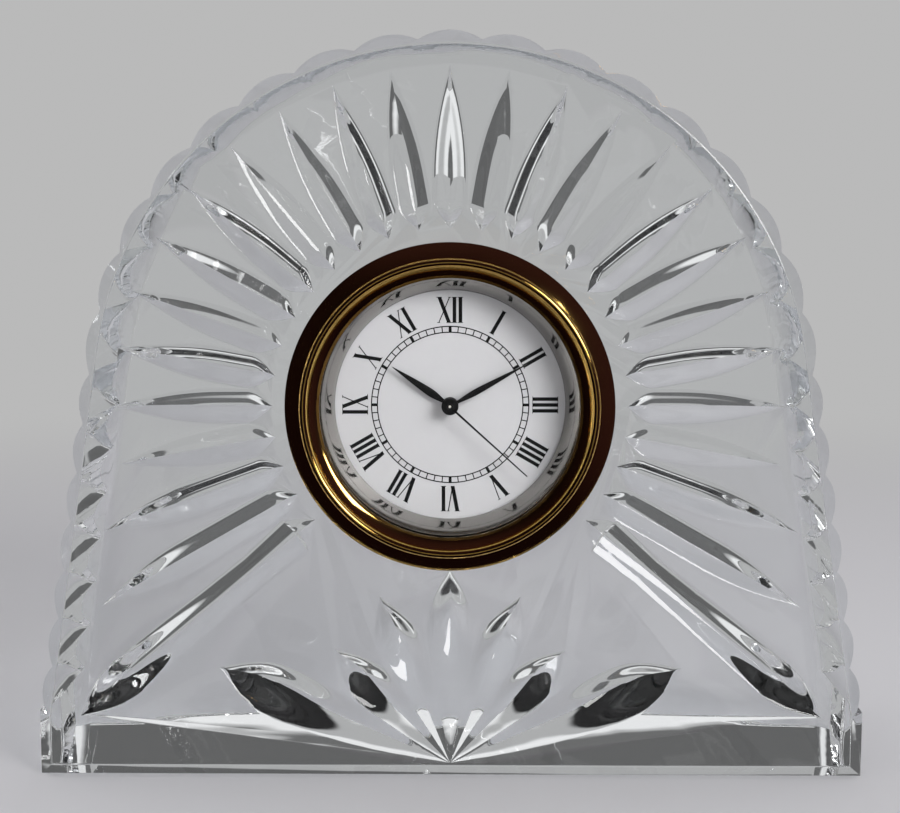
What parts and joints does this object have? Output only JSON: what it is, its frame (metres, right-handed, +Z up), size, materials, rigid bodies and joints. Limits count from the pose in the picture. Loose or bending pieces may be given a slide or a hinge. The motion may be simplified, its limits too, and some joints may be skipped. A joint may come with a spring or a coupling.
{
  "type": "crystal desk clock",
  "caption": "Domed cut-glass desk clock with a scalloped rim and a round push-in quartz clock in a gold bezel.",
  "frame": {"origin": "middle of the flat foot, under the middle of the glass block's depth", "axes": "+Z up, +X to the right as seen from the front, +Y towards the back; the dial faces -Y"},
  "size_m": [0.114, 0.0444, 0.1017],
  "materials": {
    "crystal": "polished",
    "gold_plate": "polished",
    "lens_glass": "polished",
    "silver_ring": "polished",
    "dial_paint": "satin silver white",
    "hand_black": "satin",
    "black_plastic": "moulded",
    "rubber": "soft clear",
    "brass": "turned",
    "nylon": "moulded",
    "cream_plastic": "moulded",
    "steel": "plain",
    "magnet": "sintered",
    "copper": "enamelled wire",
    "board": "solder mask"
  },
  "bodies": {
    "crystal": {"crystal_body": "crystal"},
    "insert": {"bezel": "gold_plate", "lens": "lens_glass", "reflector_ring": "silver_ring", "dial": "dial_paint", "case_cup": "black_plastic", "grip_ring": "rubber", "main_plate": "cream_plastic", "train_bridge": "cream_plastic", "bridge_screw_1": "steel", "bridge_screw_2": "steel", "bridge_screw_3": "steel", "stator": "steel", "coil_winding": "copper", "coil_core": "steel", "circuit_board": "board", "clock_chip": "black_plastic", "quartz_can": "steel", "button_cell": "steel", "front_contact": "brass", "side_contact": "brass"},
    "minute": {"cannon_pinion": "brass", "minute_hand": "hand_black"},
    "motion_wheel": {"minute_wheel": "nylon"},
    "hour": {"hour_wheel": "nylon", "hour_hand": "hand_black"},
    "setting": {"setting_stem": "nylon", "setting_knob": "black_plastic"},
    "seconds": {"seconds_wheel": "nylon", "seconds_hand": "hand_black"},
    "third": {"third_wheel": "nylon"},
    "centre": {"centre_wheel": "brass"},
    "intermediate": {"intermediate_wheel": "nylon"},
    "motor": {"rotor": "magnet"},
    "cover": {"battery_cover": "black_plastic"}
  },
  "joints": [
    {"name": "insert_pull", "type": "slide", "parent": "crystal", "child": "insert", "axis": [0, -1, 0], "range_m": [0, 0.02]},
    {"name": "cover_off", "type": "slide", "parent": "insert", "child": "cover", "axis": [0, 1, 0], "range_m": [0, 0.03]},
    {"name": "minute_turn", "type": "hinge", "parent": "insert", "child": "minute", "pos_m": [0, -0.02, 0.0518], "axis": [0, 1, 0], "continuous": true},
    {"name": "motion_wheel_turn", "type": "hinge", "parent": "insert", "child": "motion_wheel", "pos_m": [0, -0.02, 0.0578], "axis": [0, 1, 0], "continuous": true},
    {"name": "hour_turn", "type": "hinge", "parent": "insert", "child": "hour", "pos_m": [0, -0.02, 0.0518], "axis": [0, 1, 0], "continuous": true},
    {"name": "setting_turn", "type": "hinge", "parent": "insert", "child": "setting", "pos_m": [0, -0.02, 0.0638], "axis": [0, 1, 0], "continuous": true},
    {"name": "seconds_turn", "type": "hinge", "parent": "insert", "child": "seconds", "pos_m": [0, -0.02, 0.0518], "axis": [0, 1, 0], "continuous": true},
    {"name": "third_turn", "type": "hinge", "parent": "insert", "child": "third", "pos_m": [0.00675, -0.02, 0.0518], "axis": [0, 1, 0], "continuous": true},
    {"name": "centre_turn", "type": "hinge", "parent": "insert", "child": "centre", "pos_m": [0, -0.02, 0.0518], "axis": [0, 1, 0], "continuous": true},
    {"name": "intermediate_turn", "type": "hinge", "parent": "insert", "child": "intermediate", "pos_m": [0.00177, -0.02, 0.04519], "axis": [0, 1, 0], "continuous": true},
    {"name": "motor_turn", "type": "hinge", "parent": "insert", "child": "motor", "pos_m": [0.00735, -0.02, 0.04421], "axis": [0, 1, 0], "continuous": true}
  ],
  "couplings": [
    {"joint": "motion_wheel_turn", "follows": "minute_turn", "ratio": -0.33333},
    {"joint": "hour_turn", "follows": "minute_turn", "ratio": 0.083333},
    {"joint": "setting_turn", "follows": "minute_turn", "ratio": 1},
    {"joint": "intermediate_turn", "follows": "seconds_turn", "ratio": -5},
    {"joint": "motor_turn", "follows": "seconds_turn", "ratio": 30},
    {"joint": "third_turn", "follows": "seconds_turn", "ratio": -0.13333},
    {"joint": "centre_turn", "follows": "seconds_turn", "ratio": 0.016667}
  ]
}
